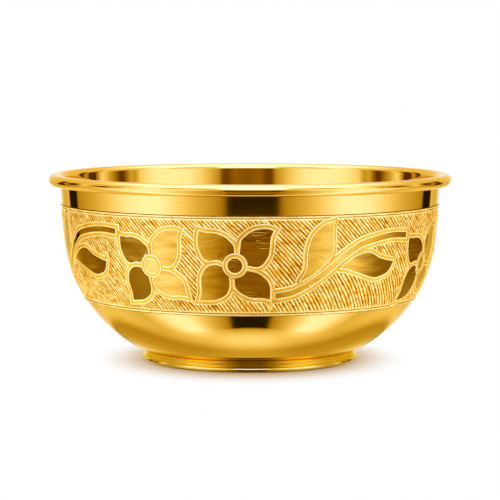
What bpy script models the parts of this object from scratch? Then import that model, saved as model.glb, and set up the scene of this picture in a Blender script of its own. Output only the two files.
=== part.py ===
"""Gold bowl: a spun sheet bowl with a wired rim, a chased frieze band and a soldered foot ring.

Metres, +Z up. The origin is the centre of the foot, on the surface that the bowl stands on.
The frieze is drawn flat and wrapped round the wall. On the drawing x runs to the right from the
front centre, y runs up from the middle of the band, and a unit is 1 mm on a band 46.8 mm high.
"""

import math

import bmesh
import bpy
import numpy as np
from mathutils import geometry

# Clearance between pieces that touch, filled by solder or burnished shut on the real bowl
FIT = 0.0003

# Rim
HEIGHT = 0.0925
RIM_RADIUS = 0.1000
SHEET = 0.0015
WIRE_DIAMETER = 0.0020
SHOULDER_BEND = 0.0022

# Wall: it leans out a little towards the rim, and its belly is a superellipse that ends on the foot
WALL_RADIUS = 0.0942
WALL_LEAN = 0.075
BELLY_TOP = 0.0671
BELLY_POWER = 2.37

# Flat base, raised above the table inside the foot
BASE_HEIGHT = 0.0052
BASE_BLEND = 0.0042

# Frieze band, let into a turned seat in the wall, with its seam between two flowers at the back
FRIEZE_BOTTOM = 0.0310
FRIEZE_TOP = 0.0778
FRIEZE_SHEET = 0.00065
FRIEZE_PROUD = 0.00015
FRIEZE_SEAM = 0.0004
FRIEZE_SEAM_TURN = 162.5
RIBBON_HEIGHT = 0.00038
EDGE_HEIGHT = 0.00015

# Foot ring: a neck that flares out to the bowl, over a round bead
FOOT_RADIUS = 0.0538
FOOT_WIDTH = 0.0042
FOOT_BEAD_HEIGHT = 0.0028
FOOT_NECK_INSET = 0.0020
FOOT_FLARE = 0.0005
FOOT_JOINT_HEIGHT = 0.0055
FOOT_CHAMFER = 0.0004
SOLDER_LEG = 0.0012

# Flat drawing of the frieze: its height, its round, the ledges along its edges, and the ribbon
# that frames each panel
DRAWING_HEIGHT = 46.8
DRAWING_ROUND = 573.0
EDGE_WIDTH = 1.3
RIBBON_WIDTH = 2.2

# Flower, from its centre. A petal's outline leaves the ring, turns at its tip and comes back
RING_RADIUS = 4.6
PETALS = (
    (
        [(1.0, 5.5), (1.3, 8.5), (1.8, 11.9), (4.0, 14.5),
         (7.1, 16.8), (10.9, 17.9), (15.0, 18.0), (19.0, 16.7)],
        [(19.0, 16.7), (17.3, 12.5), (17.0, 8.5), (16.3, 4.2),
         (14.2, 0.6), (12.0, -1.3), (9.0, -1.8), (5.8, -1.1)],
    ),
    (
        [(5.8, -1.1), (9.0, -1.8), (11.3, -2.6), (13.9, -4.4),
         (16.3, -7.0), (17.5, -10.4), (17.8, -17.7)],
        [(17.8, -17.7), (12.9, -16.5), (7.9, -16.3), (4.3, -15.2),
         (0.9, -13.0), (-1.2, -10.2), (-1.6, -6.0)],
    ),
    (
        [(-1.6, -6.0), (-1.6, -10.2), (-3.2, -14.0), (-6.0, -16.1),
         (-10.0, -17.5), (-14.5, -17.7), (-19.4, -17.7)],
        [(-19.4, -17.7), (-17.4, -12.5), (-17.3, -7.9), (-16.6, -4.4),
         (-14.8, -1.2), (-12.0, 0.9), (-8.5, 1.4), (-5.4, 0.6)],
    ),
    (
        [(-5.4, 0.6), (-8.5, 1.4), (-12.0, 0.9), (-14.8, 2.2),
         (-16.9, 5.6), (-18.0, 11.0), (-17.1, 17.2)],
        [(-17.1, 17.2), (-12.6, 16.2), (-8.5, 15.9), (-4.4, 14.5),
         (-1.3, 12.0), (0.6, 9.5), (1.0, 5.5)],
    ),
)

# Second flower of a repeat: its centre from the first one's, its turn in degrees and its size
SIDE_FLOWER = (-40.9, -1.3)
SIDE_TURN = 5.5
SIDE_SIZE = 0.95

# Leaves and stem of a repeat, from the centre of its first flower
UPPER_LEAF = (
    [(46.6, 21.2), (39.8, 18.9), (34.5, 13.5), (32.3, 6.0), (32.0, -2.0), (28.1, -8.5)],
    [(28.1, -8.5), (32.1, -8.2), (39.0, -3.9), (45.1, 2.5),
     (46.6, 7.9), (46.0, 14.4), (46.6, 21.2)],
)
LOWER_LEAF = (
    [(45.4, -4.3), (53.2, 1.5), (59.0, 4.6), (66.0, 5.6), (73.7, 2.4), (83.9, 0.1)],
    [(83.9, 0.1), (80.5, -6.0), (75.0, -8.3), (69.5, -8.6),
     (59.4, -5.5), (51.0, -3.2), (45.4, -4.3)],
)
STEM = [
    (17.8, -14.6), (26.4, -13.1), (31.4, -10.9), (36.3, -8.2), (41.1, -4.8), (46.1, -0.8),
    (51.1, 3.1), (56.5, 6.5), (62.1, 9.1), (72.6, 11.2), (81.7, 11.9), (91.5, 11.2),
]
STEM_HALF = 2.45
STEM_LIFT_RUN = (44.0, 60.0)

# Repeats as laid out by hand: angle of the first flower, angle to the next repeat, how much higher
# the stem arches, and how much lower the second flower sits
FLOWER_RISE = 0.8
REPEATS = (
    (-4.3, 94.8, 0.0, 0.0),
    (90.5, 85.2, 0.0, 2.4),
    (175.7, 85.2, 1.2, 0.8),
    (260.9, 94.8, 2.6, 0.4),
)
WIDEST_PITCH = 94.8
NEXT_FLOWER = 110.0

# Facets
OUTLINE_STEP = 4.5
RING_SIDES = 7
LEAST_APART = 1.0
GROUND_CLEAR = 3.0
SEGMENTS = 64
FRIEZE_SEGMENTS = 76
BELLY_STEPS = 5
FRIEZE_STEPS = 6
NECK_STEPS = 1
SHOULDER_STEPS = 2
ROLL_STEPS = 6
BLEND_STEPS = 3
BEAD_STEPS = 5
COVE_STEPS = 4
WIRE_SIDES = 6

# Worked out from the sizes above
ROLL_RADIUS = WIRE_DIAMETER / 2 + FIT + SHEET
ROLL_CENTRE = (RIM_RADIUS - ROLL_RADIUS, HEIGHT - ROLL_RADIUS)
WALL_TOP = HEIGHT - 2 * ROLL_RADIUS
SEAT_DEPTH = FRIEZE_SHEET + FIT - FRIEZE_PROUD
FOOT_JOINT_RADIUS = FOOT_RADIUS + FOOT_FLARE
FOOT_INNER_RADIUS = FOOT_RADIUS - FOOT_WIDTH


def lean_radius(z):
    """Outer radius that the wall would have at height z without its belly."""
    return WALL_RADIUS - WALL_LEAN * (WALL_TOP - z)


def belly_depth():
    """Depth of the superellipse whose curve passes through the joint with the foot."""
    share = FOOT_JOINT_RADIUS / lean_radius(FOOT_JOINT_HEIGHT)
    return (BELLY_TOP - FOOT_JOINT_HEIGHT) / (1 - share**BELLY_POWER) ** (1 / BELLY_POWER)


BELLY_DEPTH = belly_depth()


def wall_radius(z):
    """Outer radius of the wall at height z."""
    drop = max(0.0, (BELLY_TOP - z) / BELLY_DEPTH)
    return lean_radius(z) * (1 - drop**BELLY_POWER) ** (1 / BELLY_POWER)


def wall_height(radius):
    """Height at which the belly has the given outer radius, found by halving."""
    low = BELLY_TOP - BELLY_DEPTH
    high = BELLY_TOP
    for _ in range(40):
        middle = (low + high) / 2
        if wall_radius(middle) < radius:
            low = middle
        else:
            high = middle
    return high


def on_wall(z, offset):
    """Point at a distance from the wall's outer face, measured square to it, positive outside."""
    step = 1e-5
    slope = (wall_radius(z + step) - wall_radius(z - step)) / (2 * step)
    length = math.hypot(1, slope)
    return (wall_radius(z) + offset / length, z - offset * slope / length)


def heights(low, high, steps):
    """Heights from low to high that lie evenly along the curve of the belly."""
    first = math.asin((BELLY_TOP - low) / BELLY_DEPTH)
    last = math.asin((BELLY_TOP - high) / BELLY_DEPTH)
    turns = [first + (last - first) * i / steps for i in range(steps + 1)]
    return [BELLY_TOP - BELLY_DEPTH * math.sin(turn) for turn in turns]


def arc(centre, radius, first, last, steps):
    """Points on a circle, from the angle first to the angle last in degrees."""
    turns = [math.radians(first + (last - first) * i / steps) for i in range(steps + 1)]
    return [(centre[0] + radius * math.cos(t), centre[1] + radius * math.sin(t)) for t in turns]


def base_curve(offset):
    """Underside from the axis to the belly: a flat, then a parabola that meets the belly smoothly."""
    outer_radius = FOOT_JOINT_RADIUS + BASE_BLEND
    rise = wall_height(outer_radius) - BASE_HEIGHT
    step = 1e-5
    slope = (wall_height(outer_radius + step) - wall_height(outer_radius - step)) / (2 * step)
    run = 2 * rise / slope
    points = [(0.0, BASE_HEIGHT + offset)]
    for i in range(BLEND_STEPS + 1):
        share = i / BLEND_STEPS
        tilt = slope * share
        length = math.hypot(1, tilt)
        radius = outer_radius - run * (1 - share)
        height = BASE_HEIGHT + rise * share**2
        points.append((radius - offset * tilt / length, height + offset / length))
    return points


def underside(radius):
    """Height of the shell's underside at a radius inside or near the foot."""
    curve = base_curve(0.0)
    for (r0, z0), (r1, z1) in zip(curve, curve[1:]):
        if radius <= r1:
            return z0 + (z1 - z0) * (radius - r0) / (r1 - r0)
    return wall_height(radius)


def shoulder_centre():
    """Centre of the bend that turns the wall outwards into the roll."""
    lean = math.atan(WALL_LEAN)
    z = HEIGHT - SHEET / 2 - SHOULDER_BEND
    start = on_wall(z + SHOULDER_BEND * math.sin(lean), -SHEET / 2)
    return (start[0] + SHOULDER_BEND * math.cos(lean), z)


def shell_section():
    """Half section of the sheet, up its outer face, round the roll and down its inner face."""
    lean = math.degrees(math.atan(WALL_LEAN))
    bend = shoulder_centre()
    blend_height = wall_height(FOOT_JOINT_RADIUS + BASE_BLEND)
    seat_low = FRIEZE_BOTTOM - FIT
    seat_high = FRIEZE_TOP + FIT
    belly = heights(blend_height, seat_low, BELLY_STEPS)
    frieze = heights(FRIEZE_BOTTOM, FRIEZE_TOP, FRIEZE_STEPS)
    seat = [seat_low, *frieze[1:-1], seat_high]

    outer = base_curve(0.0)
    outer += [on_wall(z, 0.0) for z in belly[1:]]
    outer += [on_wall(z, -SEAT_DEPTH) for z in seat]
    outer += [on_wall(z, 0.0) for z in heights(seat_high, WALL_TOP, NECK_STEPS)]
    outer += arc(bend, SHOULDER_BEND - SHEET / 2, 180 - lean, 90, SHOULDER_STEPS)
    outer += arc(ROLL_CENTRE, ROLL_RADIUS - SHEET, 90, -90, ROLL_STEPS)

    curl_end = wall_radius(WALL_TOP + SHEET) + FIT
    outer += [(curl_end, WALL_TOP + SHEET), (curl_end, WALL_TOP)]
    outer += arc(ROLL_CENTRE, ROLL_RADIUS, -90, 90, ROLL_STEPS)
    outer += arc(bend, SHOULDER_BEND + SHEET / 2, 90, 180 - lean, SHOULDER_STEPS)

    inner = base_curve(SHEET)
    inner += [on_wall(z, -SHEET) for z in belly[1:] + frieze[2::2]]
    return outer + inner[::-1]


def smooth_run(points, step):
    """Points about a step apart on a smooth curve through the given ones, without the last."""
    p = np.array(points, float)
    p = np.concatenate([[2 * p[0] - p[1]], p, [2 * p[-1] - p[-2]]])
    t = np.linspace(0, 1, 8, endpoint=False)[:, None]
    curve = [
        b + (c - a) * t / 2 + (a - 2.5 * b + 2 * c - d / 2) * t**2 + (1.5 * (b - c) + (d - a) / 2) * t**3
        for a, b, c, d in zip(p, p[1:], p[2:], p[3:])
    ]
    curve = np.concatenate([*curve, p[-2:-1]])
    travelled = np.concatenate([[0], np.cumsum(np.linalg.norm(np.diff(curve, axis=0), axis=1))])
    places = np.linspace(0, travelled[-1], max(2, round(travelled[-1] / step)), endpoint=False)
    return np.stack([np.interp(places, travelled, curve[:, k]) for k in (0, 1)], axis=-1)


def closed_outline(*runs):
    """One anticlockwise outline from smooth runs that meet at corners."""
    outline = np.concatenate([smooth_run(run, OUTLINE_STEP) for run in runs])
    x, y = outline.T
    area = np.sum(x * np.roll(y, -1) - y * np.roll(x, -1))
    return outline if area > 0 else outline[::-1]


def flower_outlines(centre, degrees, size):
    """Outlines of a flower's ring and petals. Each petal is closed by its share of the ring."""
    outlines = [np.array(arc((0, 0), RING_RADIUS, 0, 360, RING_SIDES)[:-1])]
    for leaving, returning in PETALS:
        first = math.degrees(math.atan2(returning[-1][1], returning[-1][0]))
        last = math.degrees(math.atan2(leaving[0][1], leaving[0][0]))
        share = (last - first) % 360
        round_ring = arc((0, 0), RING_RADIUS, first, first + share, 4)
        outlines.append(closed_outline(leaving, returning, round_ring))
    angle = math.radians(degrees)
    matrix = np.array([[math.cos(angle), -math.sin(angle)], [math.sin(angle), math.cos(angle)]])
    return [outline @ matrix.T * size + np.array(centre) for outline in outlines]


def stem_outline(lift):
    """Outline of the stem: a strip along its line, which is lifted where it arches."""
    line = np.concatenate([smooth_run(STEM, OUTLINE_STEP), STEM[-1:]])
    share = np.clip((line[:, 0] - STEM_LIFT_RUN[0]) / (STEM_LIFT_RUN[1] - STEM_LIFT_RUN[0]), 0, 1)
    line[:, 1] += lift * share**2 * (3 - 2 * share)
    along = np.gradient(line, axis=0)
    along /= np.linalg.norm(along, axis=1, keepdims=True)
    across = np.stack([-along[:, 1], along[:, 0]], axis=-1) * STEM_HALF
    return np.concatenate([line - across, (line + across)[::-1]])


def repeat_outlines(turn, pitch, lift, drop):
    """Outlines of one repeat on the drawing: two flowers, two leaves and the stem."""
    squeeze = 1 - (WIDEST_PITCH - pitch) / 360 * DRAWING_ROUND / NEXT_FLOWER
    side = (SIDE_FLOWER[0], SIDE_FLOWER[1] - drop)
    outlines = flower_outlines((0, 0), 0, 1) + flower_outlines(side, SIDE_TURN, SIDE_SIZE)
    outlines += [closed_outline(*UPPER_LEAF), closed_outline(*LOWER_LEAF), stem_outline(lift)]
    for outline in outlines:
        outline[:, 0] *= np.where(outline[:, 0] > 0, squeeze, 1)
        outline += (turn / 360 * DRAWING_ROUND, FLOWER_RISE)
    return outlines


def offset_outline(outline, distance):
    """The outline moved outwards by a distance, its corners mitred."""
    before = outline - np.roll(outline, 1, axis=0)
    after = np.roll(outline, -1, axis=0) - outline
    before /= np.linalg.norm(before, axis=1, keepdims=True)
    after /= np.linalg.norm(after, axis=1, keepdims=True)
    along = before + after
    along /= np.linalg.norm(along, axis=1, keepdims=True)
    outwards = np.stack([along[:, 1], -along[:, 0]], axis=-1)
    cosine = np.clip(np.sum(along * after, axis=1, keepdims=True), 0.42, 1.0)
    return outline + outwards * distance / cosine


def distance_to(points, outline):
    """Distance from each point to the nearest place on a closed outline."""
    along = np.roll(outline, -1, axis=0) - outline
    reach = points[:, None, :] - outline
    share = np.clip(np.sum(reach * along, axis=2) / np.sum(along**2, axis=1), 0, 1)
    return np.linalg.norm(reach - share[..., None] * along, axis=2).min(axis=1)


def ribbon_chains():
    """Rows of points along every ribbon, as (points, kept, height): its crest and its two feet.

    Where two ribbons run together, only the first one's crest is kept and the feet between them go.
    """
    half = RIBBON_WIDTH / 2
    outlines = [outline for repeat in REPEATS for outline in repeat_outlines(*repeat)]
    chains = []
    for i, outline in enumerate(outlines):
        near = []
        for j, other in enumerate(outlines):
            for shift in (-DRAWING_ROUND, 0, DRAWING_ROUND):
                moved = other + (shift, 0)
                if j != i and abs(moved[:, 0].mean() - outline[:, 0].mean()) < 90:
                    near.append((j, moved))
        for distance, height in ((0.0, RIBBON_HEIGHT), (-half, 0.0), (half, 0.0)):
            points = offset_outline(outline, distance)
            kept = distance_to(points, outline) > 0.97 * abs(distance) - 0.01
            for j, other in near:
                if distance == 0:
                    kept &= (j > i) | (distance_to(points, other) > half * 0.8)
                else:
                    kept &= distance_to(points, other) > half * 1.25
            chains.append((points, kept, height))
    return chains


def frieze_edge():
    """Corner points round the band on the drawing, anticlockwise from the foot of its seam."""
    left = FRIEZE_SEAM_TURN / 360 * DRAWING_ROUND - DRAWING_ROUND
    gap = FRIEZE_SEAM / 2 / wall_radius((FRIEZE_BOTTOM + FRIEZE_TOP) / 2) / (2 * math.pi) * DRAWING_ROUND
    xs = np.linspace(left + gap, left + DRAWING_ROUND - gap, FRIEZE_SEGMENTS + 1)
    ys = np.linspace(-DRAWING_HEIGHT / 2, DRAWING_HEIGHT / 2, FRIEZE_STEPS + 1)
    low = [(x, ys[0]) for x in xs]
    right = [(xs[-1], y) for y in ys[1:-1]]
    high = [(x, ys[-1]) for x in xs[::-1]]
    return np.array(low + right + high + [(xs[0], y) for y in ys[-2:0:-1]]), xs, ys


def on_band(points, offsets):
    """Corners on the wall for points of the drawing, at distances out from the wall's face."""
    scale = (FRIEZE_TOP - FRIEZE_BOTTOM) / DRAWING_HEIGHT
    placed = []
    for (x, y), offset in zip(points, offsets):
        turn = 2 * math.pi * x / DRAWING_ROUND
        radius, z = on_wall((FRIEZE_BOTTOM + FRIEZE_TOP) / 2 + y * scale, offset)
        placed.append((radius * math.sin(turn), -radius * math.cos(turn), z))
    return placed


def filled(edge, inner, links):
    """Triangles that fill the edge on the drawing through the inner points, keeping the links."""
    points = [tuple(p) for p in (*edge, *inner)]
    count = len(edge)
    links = [(i, (i + 1) % count) for i in range(count)] + [(a + count, b + count) for a, b in links]
    found, _, faces, origins, _, _ = geometry.delaunay_2d_cdt(points, links, [], 1, 1e-4)
    names = [origin[0] if origin else None for origin in origins]
    return [tuple(p) for p in found], names, faces


def frieze_band(name, material):
    """The band: a face with the relief of the ornament, and a plain back that lies in the seat."""
    edge, xs, ys = frieze_edge()
    left, right = xs[0], xs[-1]
    ledge = ys[-1] - EDGE_WIDTH
    inner = [np.array([x, y]) for y in (-ledge, ledge) for x in xs[1:-1]]
    heights_of = [0.0] * len(inner)
    links = [(i, i + 1) for i in range(len(inner) - 1) if i != len(xs) - 3]
    taken = np.concatenate([edge, inner])
    for points, kept, height in ribbon_chains():
        points[:, 0] = left + (points[:, 0] - left) % DRAWING_ROUND
        numbers = []
        inside = (abs(points[:, 1]) < ledge - LEAST_APART) & (points[:, 0] > left + LEAST_APART)
        inside &= points[:, 0] < right - LEAST_APART
        for point, keep in zip(points, kept & inside):
            if keep and np.linalg.norm(taken - point, axis=1).min() > LEAST_APART:
                numbers.append(len(inner))
                inner.append(point)
                heights_of.append(height)
                taken = np.concatenate([taken, [point]])
            else:
                numbers.append(None)
        for a, b in zip(numbers, numbers[1:] + numbers[:1]):
            if a is not None and b is not None and abs(inner[a][0] - inner[b][0]) < GROUND_CLEAR * 3:
                links.append((a, b))
    ground = np.array([(x, y) for x in xs[1:-1] for y in ys[1:-1]])
    for point in ground:
        if np.linalg.norm(taken - point, axis=1).min() > GROUND_CLEAR:
            inner.append(point)
            heights_of.append(0.0)

    count = len(edge)
    found, names, faces = filled(edge, inner, links)
    edge_rise = [EDGE_HEIGHT if abs(y) > ledge else 0.0 for _, y in edge]
    rises = edge_rise + heights_of
    verts = on_band(found, [FRIEZE_PROUD + (0.0 if n is None else rises[n]) for n in names])
    front = {n: i for i, n in enumerate(names) if n is not None and n < count}

    back_points, back_names, back_faces = filled(edge, ground, [])
    back_offset = FRIEZE_PROUD - FRIEZE_SHEET
    first = len(verts)
    verts += on_band(back_points, [back_offset] * len(back_points))
    back = {n: first + i for i, n in enumerate(back_names) if n is not None and n < count}

    faces = [list(face) for face in faces] + [[first + i for i in face[::-1]] for face in back_faces]
    for i in range(count):
        after = (i + 1) % count
        faces.append([front[i], back[i], back[after], front[after]])
    bm = bmesh.new()
    corners = [bm.verts.new(v) for v in verts]
    for face in faces:
        bm.faces.new([corners[i] for i in face])
    return solid(name, bm, material)


def foot_section():
    """Section of the foot: a flat to stand on, the bead, the flared neck and the top under the base."""
    bead = FOOT_BEAD_HEIGHT / 2
    bead_end = math.degrees(math.acos(max(-1.0, 1 - FOOT_NECK_INSET / bead)))
    section = [(FOOT_INNER_RADIUS, FOOT_CHAMFER), (FOOT_INNER_RADIUS + FOOT_CHAMFER, 0.0)]
    section += arc((FOOT_RADIUS - bead, bead), bead, -90, bead_end, BEAD_STEPS)
    neck, low = section[-1]
    top = underside(FOOT_JOINT_RADIUS) - FIT
    for i in range(1, COVE_STEPS + 1):
        turn = math.radians(90 * i / COVE_STEPS)
        flare = (FOOT_JOINT_RADIUS - neck) * (1 - math.cos(turn))
        section.append((neck + flare, low + (top - low) * math.sin(turn)))
    for radius in ((FOOT_JOINT_RADIUS + FOOT_INNER_RADIUS) / 2, FOOT_INNER_RADIUS):
        section.append((radius, underside(radius) - FIT))
    return section


def wire_section():
    """Section of the wire in the roll."""
    return arc(ROLL_CENTRE, WIRE_DIAMETER / 2, 0, 360, WIRE_SIDES)[:-1]


def solder_section():
    """Section of the fillet in the corner between the foot's inner face and the base."""
    outer = FOOT_INNER_RADIUS - FIT
    top = underside(outer) - FIT
    hollow = SOLDER_LEG * 0.4
    return [
        (outer, top),
        (outer - SOLDER_LEG, underside(outer - SOLDER_LEG) - FIT),
        (outer - hollow, top - hollow),
        (outer, top - SOLDER_LEG),
    ]


def metal(name, colour, roughness):
    """Polished or worked metal of one colour."""
    material = bpy.data.materials.new(name)
    material.use_nodes = True
    shader = material.node_tree.nodes["Principled BSDF"]
    shader.inputs["Base Color"].default_value = (*colour, 1.0)
    shader.inputs["Metallic"].default_value = 1.0
    shader.inputs["Roughness"].default_value = roughness
    return material


def revolve(name, section, material):
    """One solid turned from a section around Z."""
    bm = bmesh.new()
    verts = [bm.verts.new((0.0, r, z)) for r, z in section]
    on_axis = section[0][0] == 0.0
    loop = zip(verts, verts[1:]) if on_axis else zip(verts, verts[1:] + verts[:1])
    edges = [bm.edges.new(pair) for pair in loop]
    bmesh.ops.spin(
        bm,
        geom=verts + edges,
        cent=(0, 0, 0),
        axis=(0, 0, 1),
        angle=2 * math.pi,
        steps=SEGMENTS,
        use_merge=True,
    )
    bmesh.ops.remove_doubles(bm, verts=bm.verts, dist=1e-6)
    return solid(name, bm, material)


def solid(name, bm, material):
    """A piece from a closed mesh, its faces turned out and its round surfaces smooth."""
    bmesh.ops.recalc_face_normals(bm, faces=bm.faces)
    if bm.calc_volume(signed=True) < 0:
        bmesh.ops.reverse_faces(bm, faces=bm.faces)
    mesh = bpy.data.meshes.new(name)
    bm.to_mesh(mesh)
    bm.free()
    mesh.shade_smooth()
    mesh.set_sharp_from_angle(angle=math.radians(40))
    mesh.materials.append(material)
    piece = bpy.data.objects.new(name, mesh)
    bpy.context.scene.collection.objects.link(piece)
    return piece


def build():
    for old in list(bpy.data.objects):
        bpy.data.objects.remove(old, do_unlink=True)

    bowl = bpy.data.objects.new("bowl", None)
    bpy.context.scene.collection.objects.link(bowl)

    pieces = [
        revolve("bowl_shell", shell_section(), metal("polished_gold", (0.93, 0.58, 0.10), 0.08)),
        revolve("rim_wire", wire_section(), metal("core_wire", (0.80, 0.55, 0.25), 0.35)),
        frieze_band("frieze_band", metal("chased_gold", (0.90, 0.58, 0.13), 0.30)),
        revolve("foot_ring", foot_section(), metal("foot_gold", (0.93, 0.58, 0.10), 0.10)),
        revolve("foot_solder", solder_section(), metal("solder", (0.85, 0.66, 0.30), 0.40)),
    ]
    for piece in pieces:
        piece.parent = bowl


build()
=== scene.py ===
"""Looks of the gold bowl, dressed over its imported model.

Metres, +Z up. The frieze is drawn flat, as in the solids: x runs to the right from the front
centre, y runs up from the middle of the band, and a unit is 1 mm on a band 46.8 mm high.
"""

import math

import bmesh
import bpy
import numpy as np
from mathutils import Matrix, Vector, geometry


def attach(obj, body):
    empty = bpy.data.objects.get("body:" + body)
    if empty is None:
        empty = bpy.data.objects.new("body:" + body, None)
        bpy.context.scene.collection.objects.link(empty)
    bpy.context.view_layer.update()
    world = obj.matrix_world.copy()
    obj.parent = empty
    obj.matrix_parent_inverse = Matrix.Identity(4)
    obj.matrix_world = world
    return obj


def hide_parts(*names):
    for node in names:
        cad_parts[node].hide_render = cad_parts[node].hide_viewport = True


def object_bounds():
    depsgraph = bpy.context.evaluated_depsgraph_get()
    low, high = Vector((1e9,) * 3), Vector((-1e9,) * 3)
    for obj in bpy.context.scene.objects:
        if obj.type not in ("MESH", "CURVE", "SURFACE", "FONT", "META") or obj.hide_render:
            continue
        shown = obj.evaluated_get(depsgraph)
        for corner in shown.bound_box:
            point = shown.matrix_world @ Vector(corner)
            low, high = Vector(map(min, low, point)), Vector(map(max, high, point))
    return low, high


MM = 0.001

# Shell, wall and base, as in the solids
FIT = 0.0003
SHEET = 0.0015
ROLL_RADIUS = 0.0028
SHOULDER_BEND = 0.0022
WALL_RADIUS = 0.0942
WALL_LEAN = 0.075
BELLY_TOP = 0.0671
BELLY_POWER = 2.37
BASE_HEIGHT = 0.0052
BASE_BLEND = 0.0042
FRIEZE_BOTTOM = 0.0310
FRIEZE_TOP = 0.0778
FRIEZE_SHEET = 0.00065
FRIEZE_PROUD = 0.00015

# Foot
FOOT_RADIUS = 0.0538
FOOT_WIDTH = 0.0042
FOOT_BEAD_HEIGHT = 0.0028
FOOT_NECK_INSET = 0.0020
FOOT_FLARE = 0.0005
FOOT_JOINT_HEIGHT = 0.0055
FOOT_CHAMFER = 0.0004
JOINT_LINE = 0.00003

# Smoothness of the turned surfaces
SEGMENTS = 256
BELLY_STEPS = 28
FRIEZE_STEPS = 24
NECK_STEPS = 6
SHOULDER_STEPS = 8
ROLL_STEPS = 20
BLEND_STEPS = 10
BEAD_STEPS = 16
COVE_STEPS = 10

# Flat drawing of the frieze, and its ground of slanting strokes between two plain edges, in mm
DRAWING_HEIGHT = 46.8
DRAWING_ROUND = 573.0
GROUND_HEIGHT = 0.15
STROKE_PITCH = 2.0
STROKE_DEPTH = 0.30
BROKEN_SHARE = 0.14
SLOPE_AT_TOP = 1.05
SLOPE_AT_BOTTOM = 0.68
ROW_PITCH = 1.1
BACK_STEPS = 8

# Height across one stroke, as a share of its depth
STROKE_SHAPE = (-1.0, -0.75, 0.0, 0.0, -0.35)

# Ledge along each edge of the band: distance from the edge, height, and tone
# Its tones paint dark lines of shade in the gap and the step, and pale lines of highlight on the ledge
LEDGE = (
    (0.00, -0.10, -1.0),
    (0.10, 0.30, -0.2),
    (0.30, 0.30, 0.7),
    (0.80, 0.30, 0.6),
    (1.00, -0.05, -1.0),
    (1.22, -0.05, -0.8),
    (1.40, 0.15, 0.9),
)

# Ribbon that frames each polished panel: distance from the panel's edge, height, and tone
# Its tones are painted shade at the ribbon's feet and in its channel, and pale beads that are partly
# wear and partly painted highlight
RIBBON = (
    (0.00, 0.24, -0.8),
    (0.14, 0.38, 0.5),
    (0.38, 0.50, 1.2),
    (0.62, 0.42, 0.4),
    (0.90, 0.33, -0.3),
    (1.25, 0.31, 0.0),
    (1.60, 0.33, -0.3),
    (1.88, 0.42, 0.4),
    (2.14, 0.50, 1.2),
    (2.36, 0.36, 0.3),
    (2.60, -0.20, -1.0),
)
RIBBON_HALF = 1.25
PANEL_HEIGHT = 0.24
OUTLINE_STEP = 0.55
PANEL_STEP = 1.6
RING_SIDES = 48

# Flower, from its centre. A petal's outline leaves the ring, turns at its tip and comes back
RING_RADIUS = 4.6
PETALS = (
    (
        [(1.0, 5.5), (1.3, 8.5), (1.8, 11.9), (4.0, 14.5),
         (7.1, 16.8), (10.9, 17.9), (15.0, 18.0), (19.0, 16.7)],
        [(19.0, 16.7), (17.3, 12.5), (17.0, 8.5), (16.3, 4.2),
         (14.2, 0.6), (12.0, -1.3), (9.0, -1.8), (5.8, -1.1)],
    ),
    (
        [(5.8, -1.1), (9.0, -1.8), (11.3, -2.6), (13.9, -4.4),
         (16.3, -7.0), (17.5, -10.4), (17.8, -17.7)],
        [(17.8, -17.7), (12.9, -16.5), (7.9, -16.3), (4.3, -15.2),
         (0.9, -13.0), (-1.2, -10.2), (-1.6, -6.0)],
    ),
    (
        [(-1.6, -6.0), (-1.6, -10.2), (-3.2, -14.0), (-6.0, -16.1),
         (-10.0, -17.5), (-14.5, -17.7), (-19.4, -17.7)],
        [(-19.4, -17.7), (-17.4, -12.5), (-17.3, -7.9), (-16.6, -4.4),
         (-14.8, -1.2), (-12.0, 0.9), (-8.5, 1.4), (-5.4, 0.6)],
    ),
    (
        [(-5.4, 0.6), (-8.5, 1.4), (-12.0, 0.9), (-14.8, 2.2),
         (-16.9, 5.6), (-18.0, 11.0), (-17.1, 17.2)],
        [(-17.1, 17.2), (-12.6, 16.2), (-8.5, 15.9), (-4.4, 14.5),
         (-1.3, 12.0), (0.6, 9.5), (1.0, 5.5)],
    ),
)

# Second flower of a repeat: its centre from the first one's, its turn in degrees and its size
SIDE_FLOWER = (-40.9, -1.3)
SIDE_TURN = 5.5
SIDE_SIZE = 0.95

# Leaves and stem of a repeat, from the centre of its first flower
UPPER_LEAF = (
    [(46.6, 21.2), (39.8, 18.9), (34.5, 13.5), (32.3, 6.0), (32.0, -2.0), (28.1, -8.5)],
    [(28.1, -8.5), (32.1, -8.2), (39.0, -3.9), (45.1, 2.5),
     (46.6, 7.9), (46.0, 14.4), (46.6, 21.2)],
)
LOWER_LEAF = (
    [(45.4, -4.3), (53.2, 1.5), (59.0, 4.6), (66.0, 5.6), (73.7, 2.4), (83.9, 0.1)],
    [(83.9, 0.1), (80.5, -6.0), (75.0, -8.3), (69.5, -8.6),
     (59.4, -5.5), (51.0, -3.2), (45.4, -4.3)],
)
STEM = [
    (17.8, -14.6), (26.4, -13.1), (31.4, -10.9), (36.3, -8.2), (41.1, -4.8), (46.1, -0.8),
    (51.1, 3.1), (56.5, 6.5), (62.1, 9.1), (72.6, 11.2), (81.7, 11.9), (91.5, 11.2),
]
STEM_HALF = 2.45
STEM_LIFT_RUN = (44.0, 60.0)

# Repeats as laid out by hand: angle of the first flower, angle to the next repeat, how much higher
# the stem arches, and how much lower the second flower sits
FLOWER_RISE = 0.8
REPEATS = (
    (-4.3, 94.8, 0.0, 0.0),
    (90.5, 85.2, 0.0, 2.4),
    (175.7, 85.2, 1.2, 0.8),
    (260.9, 94.8, 2.6, 0.4),
)
WIDEST_PITCH = 94.8
NEXT_FLOWER = 110.0

# Painted reflections of the panels, as tones at their left and right: each flower's ring and petals,
# the leaves, the stem
PAINTED_PANEL_REFLECTIONS = (
    (-0.25, -0.25), (-0.20, -0.20), (-0.25, -0.25), (-0.25, -0.50), (-0.10, -0.30),
    (-0.2, -0.2), (-0.3, -0.3), (-0.3, -0.3), (-1.4, -1.2), (-1.0, -0.9),
    (-0.1, -0.2), (-0.3, -1.3), (0.1, -0.9),
)
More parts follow.
